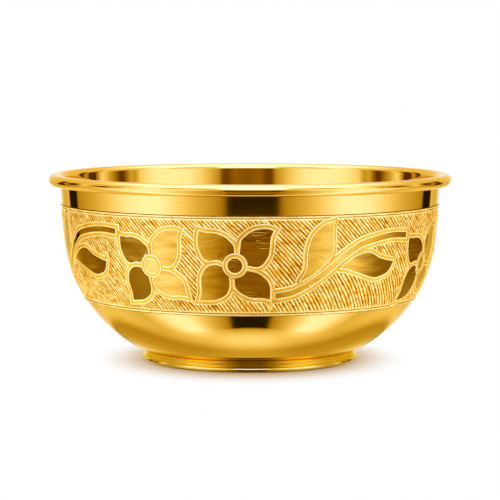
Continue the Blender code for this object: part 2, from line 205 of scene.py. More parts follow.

# Colours of the metal. Where the relief is toned they go from painted shade in the hollows to edges
# pale partly from wear and partly as painted highlight; on the panels the tones are painted
# reflections
GOLD = (0.92, 0.54, 0.085)
PANEL_GOLDS = ((0.25, 0.092, 0.001), (0.63, 0.30, 0.014), (0.92, 0.54, 0.065), (1.0, 0.86, 0.40))
CHASED_GOLDS = ((0.34, 0.11, 0.001), (0.74, 0.31, 0.006), (0.98, 0.57, 0.045), (1.0, 0.90, 0.31))
FOOT_GOLD = (0.95, 0.61, 0.12)
WIRE_COLOUR = (0.80, 0.55, 0.25)
SOLDER_COLOUR = (0.85, 0.66, 0.30)
EDGE_TINT = (1.0, 0.86, 0.50)

# Light that the metal shows, by degrees round from the front: below the rim's level, and level with it
LIGHT_BELOW = (
    (0, 0.012), (11, 0.015), (14, 0.04), (15, 0.09), (19, 0.36), (27, 0.6), (32, 0.74),
    (37, 0.91), (42, 1.1), (47.5, 1.35), (53, 1.57), (58, 1.66), (65, 1.68), (76, 1.58),
    (82, 1.40), (89, 1.17), (96, 0.95), (103, 0.76), (112, 0.60), (119, 0.50), (127, 0.38),
    (138, 0.55), (142.5, 0.85), (149, 0.65), (156, 0.7), (163, 0.95), (180, 1.1),
)
LIGHT_LEVEL = (
    (0, 0.14), (8, 0.19), (13, 0.08), (16, 0.10), (19, 0.48), (26, 0.92), (32, 1.28),
    (39, 1.55), (50, 1.64), (60, 1.57), (67, 1.44), (75, 1.10), (79, 0.50), (83, 0.60),
    (87, 0.18), (90, 0.04), (93, 0.08), (97, 0.32), (101, 0.54), (105, 0.95), (109, 1.14),
    (113, 0.50), (116, 0.04), (123, 0.04), (127, 0.50), (131, 0.05), (135, 0.05),
    (139, 0.80), (180, 1.0),
)
SIDE_BAR = ((126.5, 0), (129, 1), (140, 1), (142.5, 0))

# Shadow that the metal shows on the floor, by distance from the foot's centre in ovals
SHADOW_OVAL = (0.080, 0.057)
SHADOW_RING = (
    (0.36, 0.90), (0.40, 0.66), (0.44, 0.50), (0.505, 0.42),
    (0.525, 0.50), (0.55, 0.72), (0.575, 0.90), (0.60, 1.0),
)

# Camera, as far and as high as the photograph's perspective says
CAMERA_DISTANCE = 1.020
CAMERA_HEIGHT = 0.1487
AIM_HEIGHT = 0.05395
LENS = 147.5

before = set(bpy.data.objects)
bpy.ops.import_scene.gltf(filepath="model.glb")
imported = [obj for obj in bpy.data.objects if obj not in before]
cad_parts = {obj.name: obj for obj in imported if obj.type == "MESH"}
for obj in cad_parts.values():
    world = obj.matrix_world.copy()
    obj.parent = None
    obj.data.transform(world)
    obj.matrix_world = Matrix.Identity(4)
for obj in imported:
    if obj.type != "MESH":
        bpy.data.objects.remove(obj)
cad_low, cad_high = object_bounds()
HEIGHT = cad_high.z
RIM_RADIUS = cad_high.x

# Worked out from the sizes above
ROLL_CENTRE = (RIM_RADIUS - ROLL_RADIUS, HEIGHT - ROLL_RADIUS)
WALL_TOP = HEIGHT - 2 * ROLL_RADIUS
SEAT_DEPTH = FRIEZE_SHEET + FIT - FRIEZE_PROUD
FOOT_JOINT_RADIUS = FOOT_RADIUS + FOOT_FLARE
FOOT_INNER_RADIUS = FOOT_RADIUS - FOOT_WIDTH


# Turned shapes


def lean_radius(z):
    """Outer radius that the wall would have at height z without its belly."""
    return WALL_RADIUS - WALL_LEAN * (WALL_TOP - z)


def belly_depth():
    """Depth of the superellipse whose curve passes through the joint with the foot."""
    share = FOOT_JOINT_RADIUS / lean_radius(FOOT_JOINT_HEIGHT)
    return (BELLY_TOP - FOOT_JOINT_HEIGHT) / (1 - share**BELLY_POWER) ** (1 / BELLY_POWER)


BELLY_DEPTH = belly_depth()


def wall_radius(z):
    """Outer radius of the wall at height z."""
    drop = np.maximum(0.0, (BELLY_TOP - z) / BELLY_DEPTH)
    return lean_radius(z) * (1 - drop**BELLY_POWER) ** (1 / BELLY_POWER)


def wall_height(radius):
    """Height at which the belly has the given outer radius, found by halving."""
    low = BELLY_TOP - BELLY_DEPTH
    high = BELLY_TOP
    for _ in range(40):
        middle = (low + high) / 2
        if wall_radius(middle) < radius:
            low = middle
        else:
            high = middle
    return high


def on_wall(z, offset):
    """Point at a distance from the wall's outer face, measured square to it, positive outside."""
    step = 1e-5
    slope = (wall_radius(z + step) - wall_radius(z - step)) / (2 * step)
    length = np.hypot(1, slope)
    return (wall_radius(z) + offset / length, z - offset * slope / length)


def heights(low, high, steps):
    """Heights from low to high that lie evenly along the curve of the belly."""
    first = math.asin((BELLY_TOP - low) / BELLY_DEPTH)
    last = math.asin((BELLY_TOP - high) / BELLY_DEPTH)
    turns = [first + (last - first) * i / steps for i in range(steps + 1)]
    return [BELLY_TOP - BELLY_DEPTH * math.sin(turn) for turn in turns]


def arc(centre, radius, first, last, steps):
    """Points on a circle, from the angle first to the angle last in degrees."""
    turns = [math.radians(first + (last - first) * i / steps) for i in range(steps + 1)]
    return [(centre[0] + radius * math.cos(t), centre[1] + radius * math.sin(t)) for t in turns]


def base_curve(offset):
    """Underside from the axis to the belly: a flat, then a parabola that meets it smoothly."""
    outer_radius = FOOT_JOINT_RADIUS + BASE_BLEND
    rise = wall_height(outer_radius) - BASE_HEIGHT
    step = 1e-5
    slope = (wall_height(outer_radius + step) - wall_height(outer_radius - step)) / (2 * step)
    run = 2 * rise / slope
    points = [(0.0, BASE_HEIGHT + offset)]
    for i in range(BLEND_STEPS + 1):
        share = i / BLEND_STEPS
        tilt = slope * share
        length = math.hypot(1, tilt)
        radius = outer_radius - run * (1 - share)
        height = BASE_HEIGHT + rise * share**2
        points.append((radius - offset * tilt / length, height + offset / length))
    return points


def underside(radius):
    """Height of the shell's underside at a radius inside or near the foot."""
    curve = base_curve(0.0)
    for (r0, z0), (r1, z1) in zip(curve, curve[1:]):
        if radius <= r1:
            return z0 + (z1 - z0) * (radius - r0) / (r1 - r0)
    return wall_height(radius)


def shoulder_centre():
    """Centre of the bend that turns the wall outwards into the roll."""
    lean = math.atan(WALL_LEAN)
    z = HEIGHT - SHEET / 2 - SHOULDER_BEND
    start = on_wall(z + SHOULDER_BEND * math.sin(lean), -SHEET / 2)
    return (start[0] + SHOULDER_BEND * math.cos(lean), z)


def shell_section():
    """Half section of the sheet, up its outer face, round the roll and down its inner face."""
    lean = math.degrees(math.atan(WALL_LEAN))
    bend = shoulder_centre()
    blend_height = wall_height(FOOT_JOINT_RADIUS + BASE_BLEND)
    seat_low = FRIEZE_BOTTOM - FIT
    seat_high = FRIEZE_TOP + FIT
    belly = heights(blend_height, seat_low, BELLY_STEPS)
    frieze = heights(FRIEZE_BOTTOM, FRIEZE_TOP, FRIEZE_STEPS)
    seat = [seat_low, *frieze[1:-1], seat_high]

    outer = base_curve(0.0)
    outer += [on_wall(z, 0.0) for z in belly[1:]]
    outer += [on_wall(z, -SEAT_DEPTH) for z in seat]
    outer += [on_wall(z, 0.0) for z in heights(seat_high, WALL_TOP, NECK_STEPS)]
    outer += arc(bend, SHOULDER_BEND - SHEET / 2, 180 - lean, 90, SHOULDER_STEPS)
    outer += arc(ROLL_CENTRE, ROLL_RADIUS - SHEET, 90, -90, ROLL_STEPS)

    curl_end = wall_radius(WALL_TOP + SHEET) + JOINT_LINE
    outer += [(curl_end, WALL_TOP + SHEET), (curl_end, WALL_TOP)]
    outer += arc(ROLL_CENTRE, ROLL_RADIUS, -90, 90, ROLL_STEPS)
    outer += arc(bend, SHOULDER_BEND + SHEET / 2, 90, 180 - lean, SHOULDER_STEPS)

    inner = base_curve(SHEET)
    inner += [on_wall(z, -SHEET) for z in belly[1:] + frieze[2::2]]
    return outer + inner[::-1]


def foot_section():
    """Section of the foot: a flat to stand on, the bead, the flared neck and the top."""
    bead = FOOT_BEAD_HEIGHT / 2
    bead_end = math.degrees(math.acos(max(-1.0, 1 - FOOT_NECK_INSET / bead)))
    section = [(FOOT_INNER_RADIUS, FOOT_CHAMFER), (FOOT_INNER_RADIUS + FOOT_CHAMFER, 0.0)]
    section += arc((FOOT_RADIUS - bead, bead), bead, -90, bead_end, BEAD_STEPS)
    neck, low = section[-1]
    top = underside(FOOT_JOINT_RADIUS) - JOINT_LINE
    for i in range(1, COVE_STEPS + 1):
        turn = math.radians(90 * i / COVE_STEPS)
        flare = (FOOT_JOINT_RADIUS - neck) * (1 - math.cos(turn))
        section.append((neck + flare, low + (top - low) * math.sin(turn)))
    for radius in ((FOOT_JOINT_RADIUS + FOOT_INNER_RADIUS) / 2, FOOT_INNER_RADIUS):
        section.append((radius, underside(radius) - JOINT_LINE))
    return section


def revolve(name, section):
    """A closed piece turned from a section around Z."""
    bm = bmesh.new()
    verts = [bm.verts.new((r, 0.0, z)) for r, z in section]
    on_axis = section[0][0] == 0.0
    loop = zip(verts, verts[1:]) if on_axis else zip(verts, verts[1:] + verts[:1])
    edges = [bm.edges.new(pair) for pair in loop]
    bmesh.ops.spin(
        bm,
        geom=verts + edges,
        cent=(0, 0, 0),
        axis=(0, 0, 1),
        angle=2 * math.pi,
        steps=SEGMENTS,
        use_merge=True,
    )
    bmesh.ops.remove_doubles(bm, verts=bm.verts, dist=1e-6)
    bmesh.ops.recalc_face_normals(bm, faces=bm.faces)
    if bm.calc_volume(signed=True) < 0:
        bmesh.ops.reverse_faces(bm, faces=bm.faces)
    mesh = bpy.data.meshes.new(name)
    bm.to_mesh(mesh)
    bm.free()
    return finish_piece(name, mesh, 40)


def finish_piece(name, mesh, sharp_angle):
    """Puts a mesh in the scene, smooth except along its sharp edges."""
    mesh.shade_smooth()
    mesh.set_sharp_from_angle(angle=math.radians(sharp_angle))
    piece = bpy.data.objects.new(name, mesh)
    bpy.context.scene.collection.objects.link(piece)
    return piece


# Frieze


def on_band(x, y, height):
    """Points on the bowl for points of the drawing, at heights in mm out from the wall's face."""
    turn = 2 * math.pi * x / DRAWING_ROUND
    level = (FRIEZE_BOTTOM + FRIEZE_TOP) / 2 + y * (FRIEZE_TOP - FRIEZE_BOTTOM) / DRAWING_HEIGHT
    radius, z = on_wall(level, height * MM)
    place = np.broadcast_arrays(radius * np.sin(turn), -radius * np.cos(turn), z)
    return np.stack(place, axis=-1)


def set_tone(mesh, values):
    """Stores each vertex's tone: -1 darkest, 0 plain gold, 1 palest. It carries painted shade, painted
    highlight mixed with wear, and painted reflections.
    """
    tone = mesh.attributes.new("tone", "FLOAT", "POINT")
    tone.data.foreach_set("value", np.asarray(values, np.float32))


def grid_faces(rows, columns, first=0):
    """Quads of a grid that closes on itself along its columns."""
    row, column = np.meshgrid(np.arange(rows - 1), np.arange(columns), indexing="ij")
    after = (column + 1) % columns
    below = row * columns
    above = below + columns
    corners = np.stack([below + column, below + after, above + after, above + column], axis=-1)
    return first + corners.reshape(-1, 4)


def hatched_band():
    """The frieze's sheet: its face of slanting strokes between two plain edges, and its back."""
    rng = np.random.default_rng(3)
    across = len(STROKE_SHAPE)
    strokes = round(DRAWING_ROUND / STROKE_PITCH)
    columns = strokes * across
    high = DRAWING_HEIGHT / 2
    edge, edge_height, edge_tone = np.array(LEDGE).T
    hatch_rows = round(2 * (high - edge[-1]) / ROW_PITCH)
    hatch = np.linspace(edge[-1] - high, high - edge[-1], hatch_rows + 2)[1:-1]
    y = np.concatenate([edge - high, hatch, high - edge[::-1]])[:, None]

    drop = high - y
    lean = SLOPE_AT_TOP * drop - (SLOPE_AT_TOP - SLOPE_AT_BOTTOM) * drop**2 / (4 * high)
    phase = rng.uniform(0, 2 * math.pi, strokes).repeat(across)
    wobble = 0.22 * np.sin(y / 3.7 + phase) + 0.14 * np.sin(y / 1.9 + 2.3 * phase)
    x = np.arange(columns) * DRAWING_ROUND / columns + lean + wobble

    def per_stroke(least, most):
        """A random value for each row of each stroke, the same all across the stroke."""
        return rng.uniform(least, most, (len(y), strokes)).repeat(across, axis=1)

    cut = np.tile(STROKE_SHAPE, strokes) * per_stroke(0.75, 1.0)
    broken = per_stroke(0.0, 1.0) > 1 - BROKEN_SHARE
    height = GROUND_HEIGHT + np.where(broken, cut * 0.5 - 0.3, cut) * STROKE_DEPTH
    # Tone: painted shade in the grooves, and pale crests that are partly wear and partly painted
    # highlight, with painted glints that make rows of a stroke brighter or darker at random; broken
    # strokes are darker
    glint = per_stroke(-0.6, 0.8)
    tone = 0.5 + 1.6 * cut + np.where(cut > -0.3, glint, 0) - 0.4 * broken
    for ledge, flip in ((slice(0, len(edge)), 1), (slice(-len(edge), None), -1)):
        height[ledge] = edge_height[::flip, None]
        tone[ledge] = edge_tone[::flip, None]

    face = on_band(x, y, height)
    downwards = np.linspace(len(y) - 1, 0, BACK_STEPS + 1).astype(int)
    back = on_band(x[downwards], y[downwards], (FRIEZE_PROUD - FRIEZE_SHEET) / MM)
    verts = np.concatenate([face.reshape(-1, 3), back.reshape(-1, 3)])
    rows = len(y) + len(downwards)
    faces = grid_faces(rows, columns)
    closing = grid_faces(2, columns)
    closing = np.where(closing < columns, closing + (rows - 1) * columns, closing - columns)
    mesh = bpy.data.meshes.new("frieze_ground")
    mesh.from_pydata(verts, [], np.concatenate([faces, closing]).tolist())
    on_ledge = np.zeros(rows, int)
    on_ledge[: len(edge) - 1] = 1
    on_ledge[len(y) - len(edge) : len(y) - 1] = 1
    mesh.polygons.foreach_set("material_index", on_ledge.repeat(columns))
    set_tone(mesh, np.concatenate([tone.ravel(), np.full(back.size // 3, -0.5)]))
    return finish_piece("frieze_ground", mesh, 180)


def smooth_run(points, step):
    """Points about a step apart on a smooth curve through the given ones, without the last."""
    p = np.array(points, float)
    p = np.concatenate([[2 * p[0] - p[1]], p, [2 * p[-1] - p[-2]]])
    t = np.linspace(0, 1, 8, endpoint=False)[:, None]
    curve = []
    for a, b, c, d in zip(p, p[1:], p[2:], p[3:]):
        square = a - 2.5 * b + 2 * c - d / 2
        cube = 1.5 * (b - c) + (d - a) / 2
        curve.append(b + (c - a) * t / 2 + square * t**2 + cube * t**3)
    curve = np.concatenate([*curve, p[-2:-1]])
    travelled = np.concatenate([[0], np.cumsum(np.linalg.norm(np.diff(curve, axis=0), axis=1))])
    places = np.linspace(0, travelled[-1], max(2, round(travelled[-1] / step)), endpoint=False)
    return np.stack([np.interp(places, travelled, curve[:, k]) for k in (0, 1)], axis=-1)


def closed_outline(*runs):
    """One anticlockwise outline from smooth runs that meet at corners."""
    outline = np.concatenate([smooth_run(run, OUTLINE_STEP) for run in runs])
    x, y = outline.T
    area = np.sum(x * np.roll(y, -1) - y * np.roll(x, -1))
    return outline if area > 0 else outline[::-1]


def flower_outlines(centre, degrees, size):
    """Outlines of a flower's ring and petals. Each petal is closed by its share of the ring."""
    outlines = [np.array(arc((0, 0), RING_RADIUS, 0, 360, RING_SIDES)[:-1])]
    for leaving, returning in PETALS:
        first = math.degrees(math.atan2(returning[-1][1], returning[-1][0]))
        last = math.degrees(math.atan2(leaving[0][1], leaving[0][0]))
        share = (last - first) % 360
        round_ring = arc((0, 0), RING_RADIUS, first, first + share, 4)
        outlines.append(closed_outline(leaving, returning, round_ring))
    angle = math.radians(degrees)
    matrix = np.array([[math.cos(angle), -math.sin(angle)], [math.sin(angle), math.cos(angle)]])
    return [outline @ matrix.T * size + np.array(centre) for outline in outlines]


def stem_outline(lift):
    """Outline of the stem: a strip along its line, which is lifted where it arches."""
    line = np.concatenate([smooth_run(STEM, OUTLINE_STEP), STEM[-1:]])
    share = np.clip((line[:, 0] - STEM_LIFT_RUN[0]) / (STEM_LIFT_RUN[1] - STEM_LIFT_RUN[0]), 0, 1)
    line[:, 1] += lift * share**2 * (3 - 2 * share)
    along = np.gradient(line, axis=0)
    along /= np.linalg.norm(along, axis=1, keepdims=True)
    across = np.stack([-along[:, 1], along[:, 0]], axis=-1) * STEM_HALF
    return np.concatenate([line - across, (line + across)[::-1]])


def offset_outline(outline, distance):
    """The outline moved outwards by a distance, its corners mitred."""
    before = outline - np.roll(outline, 1, axis=0)
    after = np.roll(outline, -1, axis=0) - outline
    before /= np.linalg.norm(before, axis=1, keepdims=True)
    after /= np.linalg.norm(after, axis=1, keepdims=True)
    along = before + after
    along /= np.linalg.norm(along, axis=1, keepdims=True)
    outwards = np.stack([along[:, 1], -along[:, 0]], axis=-1)
    cosine = np.clip(np.sum(along * after, axis=1, keepdims=True), 0.42, 1.0)
    return outline + outwards * distance / cosine


def distance_to(points, outline):
    """Distance from each point to the nearest place on a closed outline."""
    along = np.roll(outline, -1, axis=0) - outline
    reach = points[:, None, :] - outline
    share = np.clip(np.sum(reach * along, axis=2) / np.sum(along**2, axis=1), 0, 1)
    return np.linalg.norm(reach - share[..., None] * along, axis=2).min(axis=1)


def inset(outline):
    """A panel's edge: the outline moved in by half a ribbon, without the points that cross over."""
    moved = offset_outline(outline, -RIBBON_HALF)
    return moved[distance_to(moved, outline) > 0.97 * RIBBON_HALF]


def repeat_panels(turn, pitch, lift, drop):
    """Panels of one repeat on the drawing: edge, whether it is a ring's disc, and its two tones of
    painted reflection.
    """
    squeeze = 1 - (WIDEST_PITCH - pitch) / 360 * DRAWING_ROUND / NEXT_FLOWER
    side = (SIDE_FLOWER[0], SIDE_FLOWER[1] - drop)
    outlines = flower_outlines((0, 0), 0, 1) + flower_outlines(side, SIDE_TURN, SIDE_SIZE)
    outlines += [closed_outline(*UPPER_LEAF), closed_outline(*LOWER_LEAF), stem_outline(lift)]
    panels = []
    for i, (outline, tones) in enumerate(zip(outlines, PAINTED_PANEL_REFLECTIONS)):
        edge = inset(outline)
        edge[:, 0] *= np.where(edge[:, 0] > 0, squeeze, 1)
        edge += (turn / 360 * DRAWING_ROUND, FLOWER_RISE)
        panels.append((edge, i in (0, 5), tones))
    return panels


def panel_faces(outline):
    """Triangles that fill a panel's edge, with points inside it so that it follows the wall."""
    low, high = outline.min(axis=0), outline.max(axis=0)
    xs = np.arange(low[0], high[0], PANEL_STEP)
    ys = np.arange(low[1], high[1], PANEL_STEP)
    inner = np.array([(x, y) for x in xs for y in ys])
    inner = inner[distance_to(inner, outline) > PANEL_STEP / 2]
    points = [Vector(p) for p in np.concatenate([outline, inner])]
    loop = [list(range(len(outline)))]
    points, _, faces, _, _, _ = geometry.delaunay_2d_cdt(points, [], loop, 1, 1e-5)
    return np.array([tuple(p) for p in points]), faces


def ornament(name, panels, neighbours):
    """Relief of one repeat: polished panels, each framed by a ribbon with a bead on either edge."""
    verts, faces, tones, polished = [], [], [], []
    for edge, is_disc, panel_painted_reflection in panels:
        first = sum(map(len, verts))
        near = [other for other in neighbours if np.abs(other[0].mean(0) - edge.mean(0)).max() < 90]
        for distance, height, tone in RIBBON:
            moved = offset_outline(edge, distance)
            level = np.full(len(edge), height)
            for other, other_is_disc, _ in near:
                if other is edge or is_disc:
                    continue
                reach = RIBBON[-1][0] if other_is_disc else distance
                buried = np.maximum(0, reach - distance_to(moved, other))
                level = np.minimum(level, height - 2.5 * buried)
            verts.append(on_band(moved[:, 0], moved[:, 1], np.maximum(level, -0.35)))
            tones.append(np.full(len(edge), tone))
        quads = grid_faces(len(RIBBON), len(edge), first)[:, ::-1]
        faces += quads.tolist()
        polished += [0] * len(quads)

        first = sum(map(len, verts))
        points, triangles = panel_faces(edge)
        share = (points[:, 0] - edge[:, 0].min()) / np.ptp(edge[:, 0])
        verts.append(on_band(points[:, 0], points[:, 1], PANEL_HEIGHT))
        # Painted reflection: the panel's tone runs from its left to its right
        tones.append(panel_painted_reflection[0] + (panel_painted_reflection[1] - panel_painted_reflection[0]) * share)
        faces += [[first + i for i in triangle] for triangle in triangles]
        polished += [1] * len(triangles)
    mesh = bpy.data.meshes.new(name)
    mesh.from_pydata(np.concatenate(verts), [], faces)
    mesh.polygons.foreach_set("material_index", polished)
    set_tone(mesh, np.concatenate(tones))
    return finish_piece(name, mesh, 180)


# Materials


class Nodes:
    """A small helper that adds nodes to a tree and links them."""

    def __init__(self, tree):
        self.tree = tree

    def add(self, kind, inputs=None, **settings):
        """A node with its settings, and its inputs given as values or as sockets to link."""
        node = self.tree.nodes.new(kind)
        for key, value in settings.items():
            setattr(node, key, value)
        for key, value in (inputs or {}).items():
            if isinstance(value, bpy.types.NodeSocket):
                self.tree.links.new(value, node.inputs[key])
            else:
                node.inputs[key].default_value = value
        return node

    def math(self, operation, *values, clamp=False):
        """Result of a Math node."""
        inputs = dict(enumerate(values))
        return self.add("ShaderNodeMath", inputs, operation=operation, use_clamp=clamp).outputs[0]

    def ramp(self, value, stops, easing="LINEAR"):
        """Result of a colour ramp, whose stops are a place and a grey or a colour."""
        node = self.add("ShaderNodeValToRGB", {"Fac": value})
        node.color_ramp.interpolation = easing
        elements = node.color_ramp.elements
        while len(elements) < len(stops):
            elements.new(0.5)
        for element, (place, colour) in zip(elements, stops):
            element.position = place
            element.color = (*colour, 1) if isinstance(colour, tuple) else (colour,) * 3 + (1,)
        return node.outputs["Color"]

    def mix_colours(self, share, first, second):
        """The first colour where the share is 0, the second where it is 1."""
        inputs = {"Factor": share, 6: first, 7: second}
        return self.add("ShaderNodeMix", inputs, data_type="RGBA").outputs[2]

    def golden(self, amount, dimmest=0.38):
        """Colour of light of the given amount: warmer where it is dim, and browner in the dark."""
        dimmed = self.range(amount, 0.0, 0.2, dimmest, 1.0)
        red = self.math("MULTIPLY", self.math("POWER", amount, 0.7), dimmed)
        blue = self.math("MINIMUM", self.math("POWER", amount, 2.8), 8.0)
        return self.add("ShaderNodeCombineColor", {0: red, 1: amount, 2: blue}).outputs[0]

    def by_angle(self, turn, stops):
        """Amount of light by angle, from stops in degrees. A turn of 1 is 180 degrees."""
        halved = [(degrees / 180, amount / 2) for degrees, amount in stops]
        return self.math("MULTIPLY", self.ramp(turn, halved), 2.0)

    def range(self, value, low, high, to_low=0.0, to_high=1.0):
        """A value mapped smoothly from one range to another."""
        inputs = {"Value": value, "From Min": low, "From Max": high}
        inputs |= {"To Min": to_low, "To Max": to_high}
        return self.add("ShaderNodeMapRange", inputs, interpolation_type="SMOOTHSTEP").outputs[0]


def new_metal(name):
    """A metal that stays golden where it is seen edge on, with its node helper and its shader."""
    material = bpy.data.materials.new(name)
    material.use_nodes = True
    nodes = Nodes(material.node_tree)
    shader = material.node_tree.nodes["Principled BSDF"]
    shader.inputs["Metallic"].default_value = 1.0
    shader.inputs["Specular Tint"].default_value = (*EDGE_TINT, 1)
    return material, nodes, shader


def noise_at(nodes, scale, stretch=(1, 1, 1), detail=3.0):
    """Noise in the object's own space, stretched along its axes."""
    place = nodes.add("ShaderNodeTexCoord").outputs["Object"]
    mapping = nodes.add("ShaderNodeMapping", {"Vector": place, "Scale": stretch})
    inputs = {"Vector": mapping.outputs[0], "Scale": scale, "Detail": detail}
    return nodes.add("ShaderNodeTexNoise", inputs).outputs["Fac"]


def polished_metal(name, gold, roughness, marks, shade_below=0.0):
    """Polished gold with faint turned marks and an uneven polish, and painted shade that darkens it
    near where it stands.
    """
    material, nodes, shader = new_metal(name)
    cloud = noise_at(nodes, 40.0)
    pale = tuple(min(1.0, c * 1.01) for c in gold)
    deep = tuple(c * 0.985 for c in gold)
    colour = nodes.ramp(cloud, ((0.3, deep), (0.7, pale)))
    # Painted shade: the colour darkens towards the floor, below the given height
    if shade_below:
        place = nodes.add("ShaderNodeTexCoord").outputs["Object"]
        height = nodes.add("ShaderNodeSeparateXYZ", {0: place}).outputs["Z"]
        painted_shade = nodes.range(height, 0.0, shade_below, 1.0, 0.0)
        colour = nodes.mix_colours(painted_shade, colour, tuple(0.15 * c for c in gold) + (1.0,))
    lines = noise_at(nodes, 60.0, (1, 1, 40), 2.0)
    bump = nodes.add("ShaderNodeBump", {"Height": lines, "Strength": 0.05, "Distance": marks})
    links = material.node_tree.links
    links.new(colour, shader.inputs["Base Color"])
    uneven = nodes.range(cloud, 0.3, 0.7, roughness * 0.7, roughness * 1.4)
    links.new(uneven, shader.inputs["Roughness"])
    links.new(bump.outputs[0], shader.inputs["Normal"])
    return material


def toned_metal(name, golds, low_roughness, high_roughness, waves, wave_stretch, creases=0.0):
    """Gold coloured by its stored tone: dark in the hollows as painted shade, pale where handling
    wears it and as painted highlight, and painted reflections on the panels.
    """
    material, nodes, shader = new_metal(name)
    tone = nodes.add("ShaderNodeAttribute", attribute_name="tone").outputs["Fac"]
    streaks = noise_at(nodes, 130.0, wave_stretch)
    patchy = nodes.math("MULTIPLY_ADD", nodes.math("SUBTRACT", streaks, 0.5), 0.9, tone)
    share = nodes.math("MULTIPLY_ADD", patchy, 0.5, 0.5, clamp=True)
    colour = nodes.ramp(share, tuple(zip((0.0, 0.25, 0.5, 1.0), golds)))
    bump = nodes.add("ShaderNodeBump", {"Height": streaks, "Strength": 0.35, "Distance": waves})
    if creases:
        wavy = noise_at(nodes, 80.0, (0.7, 0.7, 4.0), 1.0)
        folds = nodes.ramp(wavy, ((0.58, 0), (0.60, 1), (0.62, 0)))
        inputs = {"Height": folds, "Strength": 1.0, "Distance": creases, "Normal": bump.outputs[0]}
        bump = nodes.add("ShaderNodeBump", inputs)
    links = material.node_tree.links
    links.new(colour, shader.inputs["Base Color"])
    uneven = nodes.range(streaks, 0.3, 0.7, low_roughness, high_roughness)
    links.new(uneven, shader.inputs["Roughness"])
    links.new(bump.outputs[0], shader.inputs["Normal"])
    return material


def plain_metal(name, colour, roughness):
    """Metal that is out of sight, with a drawn or brushed surface."""
    material, nodes, shader = new_metal(name)
    grain = noise_at(nodes, 300.0)
    dark = tuple(c * 0.85 for c in colour)
    uneven = nodes.range(grain, 0.3, 0.7, roughness * 0.8, roughness * 1.2)
    links = material.node_tree.links
    links.new(nodes.ramp(grain, ((0.35, dark), (0.65, colour))), shader.inputs["Base Color"])
    links.new(uneven, shader.inputs["Roughness"])
    return material


# Light, floor and camera


